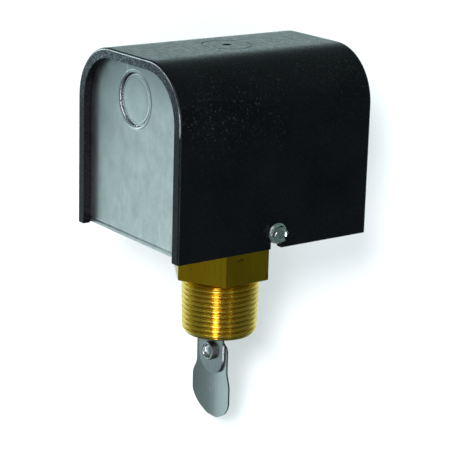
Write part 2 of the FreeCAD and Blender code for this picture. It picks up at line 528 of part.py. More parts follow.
# ---- ground screw and cover screws --------------------------------------
gs = hexagon(6.35, BASE_TOP + 1.0, 3.0, GROUND[0], GROUND[1], 12).fuse(
    cyl(4.2, (GROUND[0], GROUND[1], BASE_TOP), (0, 0, 1), 1.0)).fuse(
    cyl(2.08, (GROUND[0], GROUND[1], BASE_TOP - 2.4), (0, 0, 1), 3.0))
gs = gs.cut(box(GROUND[0] - 0.45, GROUND[0] + 0.45, GROUND[1] - 5, GROUND[1] + 5, BASE_TOP + 2.9, BASE_TOP + 5))
NODES["ground_screw"] = one(gs)


def cover_screw():
    """Slotted hex washer head screw at the origin, head towards -Y, flange back face in Y = 0."""
    fl = revolve([(0, 0), (4.4, 0), (4.4, 0.75), (3.9, 1.1), (0, 1.1)])
    hx = hexagon(6.35, 0.9, 2.5, turn=8).common(
        revolve([(0, 0), (4.0, 0), (4.0, 2.9), (3.25, 3.4), (0, 3.4)]))
    s = fl.fuse(hx).fuse(cyl(2.08, (0, 0, -8.2), (0, 0, 1), 8.6))
    slot = box(-5, 5, -0.6, 0.6, 2.1, 4)
    slot.rotate(V(0, 0, 0), V(0, 0, 1), -38)
    s = s.cut(slot)
    s.rotate(V(0, 0, 0), V(1, 0, 0), 90)
    return s


front = cover_screw()
front.translate(V(0, -W2 - 0.15, SCREW_Z))
back = cover_screw()
back.rotate(V(0, 0, 0), V(0, 0, 1), 180)
back.translate(V(0, W2 + 0.15, SCREW_Z))
NODES["cover_screws"] = group(front, back)

for name, shape in NODES.items():
    if not shape.isValid():
        print("not valid:", name)
    shape.exportStep("parts/%s.step" % name)
print(len(NODES), "nodes")
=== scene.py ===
import bpy, bmesh, math, random
from mathutils import Vector, Matrix


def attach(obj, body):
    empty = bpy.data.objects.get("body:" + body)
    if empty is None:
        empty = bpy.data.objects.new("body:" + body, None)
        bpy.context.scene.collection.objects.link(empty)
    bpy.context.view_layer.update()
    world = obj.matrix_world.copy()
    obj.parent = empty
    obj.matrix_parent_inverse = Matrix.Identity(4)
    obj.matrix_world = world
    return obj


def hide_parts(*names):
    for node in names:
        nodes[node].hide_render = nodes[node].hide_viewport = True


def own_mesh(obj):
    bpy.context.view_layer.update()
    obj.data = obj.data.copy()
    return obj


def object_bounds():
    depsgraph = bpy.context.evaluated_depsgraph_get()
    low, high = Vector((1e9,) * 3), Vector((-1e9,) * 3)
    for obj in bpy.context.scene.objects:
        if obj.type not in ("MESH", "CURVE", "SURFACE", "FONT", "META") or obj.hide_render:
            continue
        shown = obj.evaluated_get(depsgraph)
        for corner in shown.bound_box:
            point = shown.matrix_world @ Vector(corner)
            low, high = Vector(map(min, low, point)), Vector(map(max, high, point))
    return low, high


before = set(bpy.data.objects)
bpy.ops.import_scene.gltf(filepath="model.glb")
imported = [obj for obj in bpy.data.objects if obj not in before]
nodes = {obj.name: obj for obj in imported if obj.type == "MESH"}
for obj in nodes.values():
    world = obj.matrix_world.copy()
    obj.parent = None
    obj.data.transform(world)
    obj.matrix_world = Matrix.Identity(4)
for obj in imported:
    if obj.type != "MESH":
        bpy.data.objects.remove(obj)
cad_lo, cad_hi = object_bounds()
MM = 0.001
scene = bpy.context.scene
rad = math.radians

# ------------------------------------------------------------------ camera
AZ, EL, ROLL = rad(-36.157), rad(15.750), rad(1.614)
right = Vector((math.cos(AZ), math.sin(AZ), 0))
back = Vector((math.sin(AZ) * math.cos(EL), -math.cos(AZ) * math.cos(EL), math.sin(EL)))
up = back.cross(right)
r2 = right * math.cos(ROLL) + up * math.sin(ROLL)
u2 = -right * math.sin(ROLL) + up * math.cos(ROLL)
DIST, TX, TY, FOCAL = 735.31, -1.897, -20.243, 1722.86
loc = (r2 * -TX + u2 * -TY + back * DIST) * MM
cam_data = bpy.data.cameras.new("camera")
cam_data.sensor_fit = "HORIZONTAL"
cam_data.sensor_width = 36.0
cam_data.lens = 36.0 * FOCAL / 450.0
cam_data.clip_start, cam_data.clip_end = 0.01, 20.0
cam = bpy.data.objects.new("camera", cam_data)
m = Matrix((r2, u2, back)).transposed().to_4x4()
m.translation = loc
cam.matrix_world = m
scene.collection.objects.link(cam)
scene.camera = cam


# ------------------------------------------------------------------ material kit
class Mat:
    """A Principled material and short helpers for its procedural nodes, in object space and metres."""

    def __init__(self, name, color, metal=0.0, rough=0.4):
        self.m = bpy.data.materials.new(name)
        self.m.use_nodes = True
        self.nt = self.m.node_tree
        self.b = self.nt.nodes["Principled BSDF"]
        self.b.inputs["Base Color"].default_value = (*color, 1)
        self.b.inputs["Metallic"].default_value = metal
        self.b.inputs["Roughness"].default_value = rough
        self.tc = self.nt.nodes.new("ShaderNodeTexCoord")
        self.last = None

    def new(self, t):
        return self.nt.nodes.new(t)

    def link(self, a, b):
        self.nt.links.new(a, b)

    def coord(self, stretch=(1, 1, 1), shift=(0, 0, 0)):
        mp = self.new("ShaderNodeMapping")
        mp.inputs["Scale"].default_value = stretch
        mp.inputs["Location"].default_value = shift
        self.link(self.tc.outputs["Object"], mp.inputs["Vector"])
        return mp.outputs[0]

    def noise(self, scale, detail=4.0, rough=0.55, stretch=(1, 1, 1), shift=(0, 0, 0), distort=0.0):
        n = self.new("ShaderNodeTexNoise")
        n.inputs["Scale"].default_value = scale
        n.inputs["Detail"].default_value = detail
        n.inputs["Roughness"].default_value = rough
        n.inputs["Distortion"].default_value = distort
        self.link(self.coord(stretch, shift), n.inputs["Vector"])
        return n.outputs["Fac"]

    def cells(self, scale, stretch=(1, 1, 1), feature="F1", out="Color"):
        n = self.new("ShaderNodeTexVoronoi")
        n.feature = feature
        n.inputs["Scale"].default_value = scale
        self.link(self.coord(stretch), n.inputs["Vector"])
        return n.outputs[out]

    def remap(self, fac, a, b, c, d):
        n = self.new("ShaderNodeMapRange")
        n.inputs["From Min"].default_value = a
        n.inputs["From Max"].default_value = b
        n.inputs["To Min"].default_value = c
        n.inputs["To Max"].default_value = d
        self.link(fac, n.inputs["Value"])
        return n.outputs["Result"]

    def op(self, kind, a, b=None):
        n = self.new("ShaderNodeMath")
        n.operation = kind
        for i, v in enumerate((a, b)):
            if v is None:
                continue
            if isinstance(v, (int, float)):
                n.inputs[i].default_value = v
            else:
                self.link(v, n.inputs[i])
        return n.outputs[0]

    def mix(self, fac, a, b, mode="MIX"):
        n = self.new("ShaderNodeMix")
        n.data_type = "RGBA"
        n.blend_type = mode
        if isinstance(fac, (int, float)):
            n.inputs["Factor"].default_value = fac
        else:
            self.link(fac, n.inputs["Factor"])
        for i, v in ((6, a), (7, b)):
            if isinstance(v, tuple):
                n.inputs[i].default_value = (*v, 1)
            else:
                self.link(v, n.inputs[i])
        return n.outputs[2]

    def z_of(self, axis="Z"):
        s = self.new("ShaderNodeSeparateXYZ")
        self.link(self.tc.outputs["Object"], s.inputs[0])
        return s.outputs[axis]

    def color(self, c):
        self.link(c, self.b.inputs["Base Color"])

    def rough(self, r):
        self.link(r, self.b.inputs["Roughness"])

    def bump(self, height, strength, distance):
        n = self.new("ShaderNodeBump")
        n.inputs["Strength"].default_value = strength
        n.inputs["Distance"].default_value = distance
        self.link(height, n.inputs["Height"])
        if self.last is not None:
            self.link(self.last, n.inputs["Normal"])
        self.last = n.outputs[0]
        self.link(self.last, self.b.inputs["Normal"])


def cover_paint():
    k = Mat("cover_paint", (0.004, 0.004, 0.004), 0.0, 0.3)
    tone = k.mix(k.remap(k.noise(38, 5), 0.35, 0.7, 0, 1), (0.0012, 0.0016, 0.0020), (0.0026, 0.0032, 0.0036))
    # dust with a painted sheen: lighter greenish specks, painted stronger with height up the shoulder
    dust_and_sheen = k.remap(k.noise(1500, 2, 0.5), 0.62, 0.76, 0, 0.6)
    sheen_height_mask = k.remap(k.z_of("Z"), 0.052, 0.082, 0.0, 1.0)
    dust_and_sheen = k.op("MULTIPLY", dust_and_sheen, k.op("MULTIPLY", k.remap(k.noise(24, 3), 0.38, 0.60, 0, 1), sheen_height_mask))
    base = k.mix(dust_and_sheen, tone, (0.060, 0.080, 0.068))
    # end faces: painted glints on the grain, a painted highlight, most of all round the top
    g = k.new("ShaderNodeNewGeometry")
    sx = k.new("ShaderNodeSeparateXYZ")
    k.link(g.outputs["True Normal"], sx.inputs[0])
    nx = k.op("ABSOLUTE", sx.outputs["X"])
    face = k.remap(nx, 0.975, 0.995, 0, 1)
    glint = k.remap(k.noise(1900, 2, 0.55, (1, 1, 1), (3, 3, 3)), 0.42, 0.70, 0, 1)
    round_top = k.remap(k.z_of("Z"), 0.070, 0.094, 0.06, 1.0)
    round_top = k.op("MULTIPLY", round_top, k.remap(k.z_of("Y"), -0.034, 0.012, 0.42, 1.0))
    base = k.mix(k.op("MULTIPLY", k.op("MULTIPLY", face, glint), round_top), base, (0.105, 0.145, 0.165))
    # the rounded outer edge of each end, rubbed thin along its inner side, with a painted highlight on it: strongest
    # high up, towards +Y and in a patch on the -Y shoulder
    edge = k.op("MULTIPLY", k.remap(nx, 0.84, 0.90, 0, 1), k.remap(nx, 0.994, 0.975, 0, 1))
    edge = k.op("MULTIPLY", edge, k.remap(k.noise(150, 3, 0.6, (1, 1, 1), (6, 1, 1)), 0.34, 0.56, 0.25, 1.0))
    high_up = k.remap(k.z_of("Z"), 0.078, 0.090, 0.06, 1.0)
    far_side = k.remap(k.z_of("Y"), -0.036, -0.012, 0.16, 0.85)
    corner = k.op("MULTIPLY", k.remap(k.z_of("Z"), 0.0705, 0.0745, 0, 1), k.remap(k.z_of("Z"), 0.0835, 0.0795, 0, 1))
    corner = k.op("MULTIPLY", corner, k.remap(k.z_of("Y"), -0.030, -0.034, 0, 1))
    edge = k.op("MULTIPLY", edge, k.op("MAXIMUM", k.op("MULTIPLY", high_up, far_side), corner))
    base = k.mix(edge, base, (0.62, 0.72, 0.74))
    k.color(base)
    k.link(k.op("MULTIPLY", edge, 0.8), k.b.inputs["Metallic"])
    k.rough(k.op("ADD", k.remap(k.noise(420, 4, 0.6), 0.3, 0.7, 0.20, 0.34), k.op("MULTIPLY", edge, 0.12)))
    k.bump(k.noise(1250, 3, 0.6), 0.75, 0.00011)
    k.bump(k.noise(330, 2), 0.25, 0.00016)
    k.b.inputs["IOR"].default_value = 1.47
    k.b.inputs["Specular IOR Level"].default_value = 0.20
    return k.m


def galvanised(name="galvanised", base=0.85, rough=0.37, marks=1.0):
    k = Mat(name, (base, base, base), 1.0, rough)
    bw = k.new("ShaderNodeRGBToBW")
    k.link(k.cells(210, (1, 1, 0.8)), bw.inputs[0])
    spangle = k.remap(bw.outputs[0], 0.2, 0.8, 0.0, 1.0)
    grain = k.noise(2100, 3, 0.5, (1, 1, 0.05))
    blotch = k.noise(170, 8, 0.72, (1, 1, 0.75), (2, 0, 1))
    cloud = k.noise(34, 4, 0.6, (1, 1, 0.8), (4, 1, 7))
    # painted light: the plate is lighter towards the bottom
    lift = k.remap(k.z_of("Z"), 0.020, 0.090, 1.0, 0.0)
    c = k.mix(lift, (base * 0.88, base * 0.90, base * 0.90), (base * 1.24, base * 1.22, base * 1.20))
    # painted shade: darker towards +Y
    painted_shade_across = k.remap(k.z_of("Y"), -0.034, 0.034, 0.0, 0.52)
    c = k.mix(painted_shade_across, c, (base * 0.50, base * 0.55, base * 0.55))
    c = k.mix(k.remap(cloud, 0.35, 0.68, 0, 0.30), c, (base * 0.62, base * 0.66, base * 0.66))
    c = k.mix(k.remap(blotch, 0.40, 0.64, 0, 0.46), c, (base * 0.60, base * 0.65, base * 0.66))
    c = k.mix(k.op("MULTIPLY", spangle, 0.13), c, (base * 0.55, base * 0.6, base * 0.62))
    c = k.mix(k.remap(grain, 0.40, 0.72, 0, 0.14), c, (base * 0.55, base * 0.6, base * 0.6))
    # painted shade: darker along the top, under the cover's lip
    c = k.mix(k.remap(k.z_of("Z"), 0.077, 0.092, 0.0, 0.86), c, (base * 0.36, base * 0.39, base * 0.40))
    # painted shade: darker still in the upper +Y corner
    corner = k.op("MULTIPLY", k.remap(k.z_of("Y"), -0.006, 0.032, 0.0, 1.0), k.remap(k.z_of("Z"), 0.040, 0.088, 0.0, 0.76))
    c = k.mix(corner, c, (base * 0.30, base * 0.33, base * 0.34))
    scr = k.remap(k.noise(620, 1, 0.4, (1.0, 1.0, 0.04), (3, 1, 2)), 0.69, 0.76, 0, 0.30)
    c = k.mix(scr, c, (base * 1.3, base * 1.3, base * 1.3))
    specks = k.remap(k.noise(820, 2, 0.5, (1, 1, 1), (9, 9, 3)), 0.73, 0.78, 0, 0.55)
    c = k.mix(specks, c, (base * 0.35, base * 0.36, base * 0.34))
    k.color(c)
    k.rough(k.op("ADD", k.remap(blotch, 0.3, 0.7, rough - 0.06, rough + 0.08), k.remap(spangle, 0, 1, -0.03, 0.03)))
    k.bump(grain, 0.15 * marks, 0.00004)
    k.bump(k.noise(900, 3), 0.20 * marks, 0.00005)
    k.bump(k.noise(110, 3), 0.14 * marks, 0.00025)
    return k.m


def brass(name, color, dark, rough, along, marks=1.0):
    """along: 'z' for flats planed along the axis, 'ring' for turned surfaces."""
    k = Mat(name, color, 1.0, rough)
    stretch = (1, 1, 0.012) if along == "z" else (0.05, 0.05, 1)
    line = k.noise(1500 if along == "z" else 3600, 4, 0.6, stretch)
    tone = k.noise(70, 5, 0.6, (1, 1, 0.35) if along == "z" else (1, 1, 1))
    c = k.mix(k.remap(tone, 0.3, 0.72, 0, 1), dark, color)
    c = k.mix(k.remap(line, 0.42, 0.70, 0, 0.42), c, tuple(v * 0.55 for v in color))
    spots = k.remap(k.noise(330, 2, 0.5, (1, 1, 1), (5, 2, 9)), 0.69, 0.74, 0, 0.7)
    c = k.mix(spots, c, (dark[0] * 0.35, dark[1] * 0.25, dark[2] * 0.3))
    if along == "ring":
        sp = k.new("ShaderNodeSeparateXYZ")
        k.link(k.tc.outputs["Object"], sp.inputs[0])
        rr = k.op("SQRT", k.op("ADD", k.op("MULTIPLY", sp.outputs["X"], sp.outputs["X"]), k.op("MULTIPLY", sp.outputs["Y"], sp.outputs["Y"])))
        rr = k.op("SUBTRACT", rr, k.op("MULTIPLY", sp.outputs["Z"], 0.0254))
        # painted shade: darker in the thread's roots
        painted_root_shade = k.op("MULTIPLY", k.remap(rr, 0.01614, 0.01597, 0.0, 0.74), k.remap(sp.outputs["Z"], -0.0008, -0.0016, 0.0, 1.0))
        painted_root_shade = k.op("MULTIPLY", painted_root_shade, k.remap(rr, 0.0154, 0.0157, 0.0, 1.0))
        c = k.mix(painted_root_shade, c, (dark[0] * 0.30, dark[1] * 0.28, dark[2] * 0.20))
    k.color(c)
    k.rough(k.op("ADD", k.remap(line, 0.3, 0.7, rough - 0.05, rough + 0.07), k.remap(tone, 0.3, 0.7, 0.05, -0.03)))
    k.bump(line, 0.22 * marks, 0.00004)
    k.bump(k.noise(520, 3), 0.08 * marks, 0.00005)
    return k.m


def steel(name, base=(0.54, 0.57, 0.57), rough=0.27, grain=(1, 1, 0.02), amount=0.16, tone=0.82):
    k = Mat(name, base, 1.0, rough)
    g = k.noise(2300, 4, 0.6, grain)
    t = k.noise(110, 5, 0.6)
    c = k.mix(k.remap(t, 0.3, 0.7, 0, 1), tuple(v * tone for v in base), base)
    c = k.mix(k.remap(g, 0.45, 0.75, 0, amount), c, tuple(v * 0.5 for v in base))
    k.color(c)
    k.rough(k.op("ADD", k.remap(g, 0.3, 0.7, rough - 0.05, rough + 0.06), k.remap(t, 0.3, 0.7, -0.03, 0.04)))
    k.bump(g, amount, 0.00003)
    k.bump(k.noise(700, 2), 0.07, 0.00004)
    return k.m


def cup_steel():
    """Bright pressed washer whose rolled outer side is rougher and painted dark as painted shade."""
    k = Mat("cup_steel", (0.60, 0.63, 0.64), 1.0, 0.20)
    sp = k.new("ShaderNodeSeparateXYZ")
    k.link(k.tc.outputs["Generated"], sp.inputs[0])
    y, z = k.op("SUBTRACT", sp.outputs["Y"], 0.5), k.op("SUBTRACT", sp.outputs["Z"], 0.5)
    r = k.op("SQRT", k.op("ADD", k.op("MULTIPLY", y, y), k.op("MULTIPLY", z, z)))
    # painted shade: the rolled outer side is darker
    wall = k.remap(r, 0.435, 0.465, 0.0, 1.0)
    k.color(k.mix(wall, (0.60, 0.63, 0.64), (0.17, 0.18, 0.18)))
    k.rough(k.remap(wall, 0.0, 1.0, 0.20, 0.46))
    k.bump(k.noise(900, 2), 0.05, 0.00003)
    return k.m


def moulded(name, a, b, rough, speck=None, bump=0.15, ior=1.5):
    k = Mat(name, a, 0.0, rough)
    c = k.mix(k.remap(k.noise(90, 5, 0.6, (1, 1, 1), (1, 4, 2), 0.6), 0.3, 0.7, 0, 1), a, b)
    if speck:
        c = k.mix(k.remap(k.noise(1700, 2), 0.62, 0.74, 0, 0.6), c, speck)
    k.color(c)
    k.rough(k.remap(k.noise(380, 4), 0.3, 0.7, rough - 0.07, rough + 0.10))
    k.bump(k.noise(1400, 3), bump, 0.00005)
    k.bump(k.noise(160, 2), bump * 0.5, 0.0002)
    k.b.inputs["IOR"].default_value = ior
    return k.m


M = {
    "cover_paint": cover_paint(),
    "galvanised": galvanised(),
    "galvanised_rim": galvanised("galvanised_rim", 0.88, 0.25, 0.0),
    "brass_flat": brass("brass_flat", (0.68, 0.46, 0.017), (0.43, 0.245, 0.008), 0.30, "z"),
    "brass_turned": brass("brass_turned", (0.96, 0.64, 0.095), (0.78, 0.50, 0.035), 0.22, "ring", 0.30),
    "gasket": moulded("gasket", (0.022, 0.022, 0.022), (0.04, 0.04, 0.038), 0.62, (0.10, 0.10, 0.10), 0.4),
    "bronze": steel("bronze", (0.78, 0.47, 0.24), 0.22, (0.05, 0.05, 1), 0.12, 0.78),
    "zinc_plate": steel("zinc_plate", (0.66, 0.67, 0.62), 0.30, (1, 1, 0.3), 0.12, 0.80),
    "stainless": steel("stainless", (0.43, 0.445, 0.445), 0.21, (1, 1, 0.02), 0.05, 0.90),
    "stainless_bright": steel("stainless_bright", (0.60, 0.63, 0.64), 0.20, (1, 1, 1), 0.02, 0.9),
    "spring_steel": steel("spring_steel", (0.46, 0.47, 0.47), 0.22, (1, 1, 0.3), 0.10, 0.8),
    "phenolic": moulded("phenolic", (0.030, 0.019, 0.014), (0.045, 0.028, 0.020), 0.34, (0.09, 0.07, 0.05), 0.2, 1.6),
    "nylon": moulded("nylon", (0.70, 0.67, 0.58), (0.78, 0.75, 0.67), 0.38, None, 0.1, 1.53),
    "silver": steel("silver", (0.86, 0.86, 0.83), 0.16, (1, 1, 1), 0.06, 0.85),
    "fibre_card": moulded("fibre_card", (0.20, 0.15, 0.10), (0.30, 0.23, 0.15), 0.72, (0.42, 0.35, 0.25), 0.5),
    "green_paint": steel("green_paint", (0.05, 0.36, 0.13), 0.28, (1, 1, 1), 0.12, 0.7),
    "cup_steel": cup_steel(),
    "screw_zinc": steel("screw_zinc", (0.82, 0.97, 0.89), 0.21, (1, 1, 1), 0.08, 0.72),
}
NODE_MAT = {
    "cover": "cover_paint", "base_bracket": "galvanised", "knockout_slugs": "galvanised", "pipe_body": "brass_flat",
    "body_gasket": "gasket", "body_locknut": "brass_flat", "bellows": "bronze", "pivot_yoke": "zinc_plate",
    "yoke_screws": "zinc_plate", "pivot_pin": "stainless_bright", "pin_clip": "spring_steel", "arm_hub": "brass_flat",
    "arm_rod": "stainless", "lever_stud": "stainless_bright", "trip_lever": "zinc_plate", "lever_nut": "zinc_plate",
    "spring_cap": "brass_turned", "arm_tab": "stainless", "paddle": "stainless", "cup_washer": "cup_steel",
    "lock_washer": "stainless_bright", "paddle_screw": "stainless_bright", "paddle_nut": "stainless_bright",
    "adjusting_screw": "zinc_plate", "spring_seat": "brass_flat", "range_spring": "spring_steel",
    "switch_case": "phenolic", "switch_lid": "phenolic", "switch_plunger": "nylon", "contact_blade": "bronze",
    "blade_pin": "stainless_bright", "fixed_contacts": "silver", "terminal_plates": "brass_flat",
    "terminal_screws": "zinc_plate", "insulating_card": "fibre_card", "switch_bracket": "galvanised",
    "switch_screws": "zinc_plate", "switch_nuts": "zinc_plate", "bracket_screws": "zinc_plate",
    "ground_screw": "green_paint", "cover_screws": "screw_zinc",
}
for n, o in nodes.items():
    mat = M[NODE_MAT[n]]
    if len(o.material_slots):
        for s in o.material_slots:
            s.link = "OBJECT"
            s.material = mat
    else:
        o.data.materials.append(mat)
    for p in o.data.polygons:
        p.use_smooth = True
    o.data.set_sharp_from_angle(angle=rad(28))


# ------------------------------------------------------------------ mesh kit
def finish(name, verts, faces, mat, body, sharp=32, replaces=(), mats=None):
    me = bpy.data.meshes.new(name)
    me.from_pydata([tuple(v) for v in verts], [], faces)
    me.materials.append(M[mat])
    for extra in (mats or []):
        me.materials.append(M[extra])
    bm = bmesh.new()
    bm.from_mesh(me)
    bmesh.ops.recalc_face_normals(bm, faces=bm.faces)
    bm.to_mesh(me)
    bm.free()
    for p in me.polygons:
        p.use_smooth = True
    me.set_sharp_from_angle(angle=rad(sharp))
    o = bpy.data.objects.new(name, me)
    scene.collection.objects.link(o)
    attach(o, body)
    if replaces:
        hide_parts(*replaces)
    return o


def grid(rows, n, place, loop=False):
    """Closed skin from rows of (radius function or number, height); place maps (x, y, h) in mm to metres."""
    verts, faces, idx = [], [], []
    for r, h in rows:
        if not callable(r) and not callable(h) and abs(r) < 1e-9:
            idx.append([len(verts)])
            verts.append(place(0, 0, h))
            continue
        row = []
        for i in range(n):
            a = 2 * math.pi * i / n
            rr = r(a) if callable(r) else r
            hh = h(a) if callable(h) else h
            row.append(len(verts))
            verts.append(place(rr * math.cos(a), rr * math.sin(a), hh))
        idx.append(row)
    pairs = list(zip(idx, idx[1:])) + ([(idx[-1], idx[0])] if loop else [])
    for a, b in pairs:
        if len(a) == 1 and len(b) == 1:
            continue
        for i in range(n):
            j = (i + 1) % n
            if len(a) == 1:
                faces.append((a[0], b[i], b[j]))
            elif len(b) == 1:
                faces.append((a[i], b[0], a[j]))
            else:
                faces.append((a[i], a[j], b[j], b[i]))
    if not loop:
        if len(idx[0]) > 1:
            faces.append(tuple(idx[0]))
        if len(idx[-1]) > 1:
            faces.append(tuple(idx[-1]))
    return verts, faces


def hexr(af, turn=0.0):
    """Radius of a hexagon with corners at turn, turn + 60..., by angle."""
    def f(a):
        t = (math.degrees(a) - turn) % 60.0 - 30.0
        return (af / 2) / math.cos(rad(t))
    return f


def at(ox=0.0, oy=0.0, oz=0.0):
    return lambda x, y, h: Vector((ox + x, oy + y, oz + h)) * MM


def tube_path(points, r, n=14):
    """Closed round wire along points (mm)."""
    verts, faces = [], []
    pts = [Vector(p) for p in points]
    prev = None
    for i, p in enumerate(pts):
        t = (pts[min(i + 1, len(pts) - 1)] - pts[max(i - 1, 0)]).normalized()
        if prev is None:
            prev = Vector((0, 0, 1)) if abs(t.z) < 0.9 else Vector((1, 0, 0))
        s = (prev - t * prev.dot(t)).normalized()
        prev = s
        q = t.cross(s)
        for k in range(n):
            a = 2 * math.pi * k / n
            verts.append((p + s * (r * math.cos(a)) + q * (r * math.sin(a))) * MM)
    for i in range(len(pts) - 1):
        for k in range(n):
            a, b = i * n + k, i * n + (k + 1) % n
            faces.append((a, b, b + n, a + n))
    faces.append(tuple(range(n)))
    faces.append(tuple(range((len(pts) - 1) * n, len(pts) * n)))
    return verts, faces


def drilled(o, tool_verts, tool_faces):
    """Cuts a closed tool out of a new piece and bakes the result into the piece's own mesh."""
    tm = bpy.data.meshes.new("tool")
    tm.from_pydata([tuple(v) for v in tool_verts], [], tool_faces)
    bm = bmesh.new()
    bm.from_mesh(tm)
    bmesh.ops.recalc_face_normals(bm, faces=bm.faces)
    bm.to_mesh(tm)
    bm.free()
    t = bpy.data.objects.new("tool", tm)
    scene.collection.objects.link(t)
    md = o.modifiers.new("cut", "BOOLEAN")
    md.operation = "DIFFERENCE"
    md.solver = "EXACT"
    md.object = t
    dg = bpy.context.evaluated_depsgraph_get()
    dg.update()
    me = bpy.data.meshes.new_from_object(o.evaluated_get(dg))
    o.modifiers.remove(md)
    old = o.data
    o.data = me
    me.name = old.name
    bpy.data.meshes.remove(old)
    bpy.data.objects.remove(t)
    bpy.data.meshes.remove(tm)
    for p in me.polygons:
        p.use_smooth = True
    me.set_sharp_from_angle(angle=rad(32))


# ------------------------------------------------------------------ pipe body: planed hex over a true tapered thread
PITCH, Z_END, Z_RELIEF = 2.2087, -25.6, -1.0
CREST0, CREST1, DEPTH = 16.75, 16.1, 0.82
HEXF = hexr(38.1, 0.0)


def lim(z):
    return lambda a: min(HEXF(a), 19.25 + (19.5 - z) * 2.005)


NB = 240
rows = [(10.8, Z_END), (12.6, Z_END), (14.9, Z_END), None, (15.3, Z_RELIEF), (15.3, -0.35), (15.36, 0.0)]
rows += [(lambda a: 15.36 + (HEXF(a) - 0.16 - 15.36) * 0.5, 0.0), (lambda a: HEXF(a) - 0.16, 0.0), (lambda a: HEXF(a), 0.15)]
rows += [(HEXF, z) for z in (3.0, 8.0, 13.0, 17.8)]
rows += [(lim(z), z) for z in (18.05, 18.2, 18.4, 18.6, 18.8, 19.0, 19.2, 19.4)]
rows += [(lim(19.5), 19.5), (13.2, 19.5), (13.0, 19.55), (13.0, 27.3), (12.8, 27.5), (10.8, 27.5), (10.8, 20.0), (10.8, 10.0), (10.8, 0.0), (10.8, -12.0)]
verts, faces, ring_ids = [], [], []
for row in rows:
    if row is None:
        ring_ids.append(None)
        continue
    r, z = row
    ids = []
    for i in range(NB):
        a = 2 * math.pi * i / NB
        rr = r(a) if callable(r) else r
        ids.append(len(verts))
        verts.append(Vector((rr * math.cos(a), rr * math.sin(a), z)) * MM)
    ring_ids.append(ids)
for a_ids, b_ids in list(zip(ring_ids, ring_ids[1:])) + [(ring_ids[-1], ring_ids[0])]:
    if a_ids is None or b_ids is None:
        continue
    for i in range(NB):
        j = (i + 1) % NB
        faces.append((a_ids[i], a_ids[j], b_ids[j], b_ids[i]))
# the thread's own skin: rows follow the helix, one pitch is PER rows, right-handed
PER = 22
STEP = PITCH / PER
K0, K1 = -PER - 2, int((Z_RELIEF - Z_END) / STEP) + 3


def thread_r(z, phase):
    t = abs(phase - round(phase)) * 2.0
    t = min(max((t - 0.20) / 0.78, 0.0), 1.0)
    t = 0.30 * t + 0.70 * (t * t * (3 - 2 * t))
    r = CREST0 + (CREST0 - CREST1) * z / 25.6 - DEPTH * t
    r = min(r, 14.9 + (z - Z_END) * 0.66)
    if z > -2.4:
        r = min(r, 15.3 + (Z_RELIEF - z) * 1.1)
    return r


OFF = ((-2.05 - Z_END) / PITCH - 144.0 / 360.0) % 1.0
tid = {}
for k in range(K0, K1 + 1):
    for i in range(NB):
        a = 2 * math.pi * i / NB
        zz = Z_END + (k + PER * i / NB) * STEP
        zc = min(max(zz, Z_END), Z_RELIEF)
        r = 14.9 if zc <= Z_END else 15.3 if zc >= Z_RELIEF else thread_r(zc, k / PER - OFF)
        tid[k, i] = len(verts)
        verts.append(Vector((r * math.cos(a), r * math.sin(a), zc)) * MM)
for k in range(K0, K1):
    for i in range(NB):
        if i + 1 < NB:
            q = (tid[k, i], tid[k, i + 1], tid[k + 1, i + 1], tid[k + 1, i])
        elif k + PER + 1 <= K1:
            q = (tid[k, i], tid[k + PER, 0], tid[k + 1 + PER, 0], tid[k + 1, i])
        else:
            continue
        zs = [verts[x].z for x in q]
        if max(zs) - min(zs) > 1e-7:
            faces.append(q)
used = sorted({x for q in faces for x in q})
remap_id = {old: new for new, old in enumerate(used)}
tm = bpy.data.meshes.new("body_tmp")
tm.from_pydata([tuple(verts[x]) for x in used], [], [tuple(remap_id[x] for x in q) for q in faces])
bm = bmesh.new()
bm.from_mesh(tm)
bmesh.ops.remove_doubles(bm, verts=bm.verts, dist=2e-6)
bmesh.ops.dissolve_degenerate(bm, edges=bm.edges, dist=1e-7)
bm.verts.index_update()
v = [x.co.copy() for x in bm.verts]
f = [tuple(x.index for x in q.verts) for q in bm.faces]
OPEN_EDGES = sum(1 for e in bm.edges if len(e.link_faces) != 2)
print("pipe body open edges", OPEN_EDGES)
bm.free()
bpy.data.meshes.remove(tm)
body = finish("brass_pipe_body", v, f, "brass_flat", "housing", 30, ("pipe_body",), ["brass_turned"])
for p in body.data.polygons:
    if p.center.z < -0.0001 or p.center.z > 0.0195 or (p.center.x ** 2 + p.center.y ** 2) < 0.0125 ** 2:
        p.material_index = 1

# ------------------------------------------------------------------ cover screws: indented hex washer heads
W2 = 75.6 / 2


def screw_place(side):
    def f(x, y, h):
        # head towards -Y for side = -1; the screw's own X runs along +X on the front
        if side < 0:
            return Vector((x, -W2 - 0.15 - h, 27.0 + y)) * MM
        return Vector((-x, W2 + 0.15 + h, 27.0 + y)) * MM
    return f


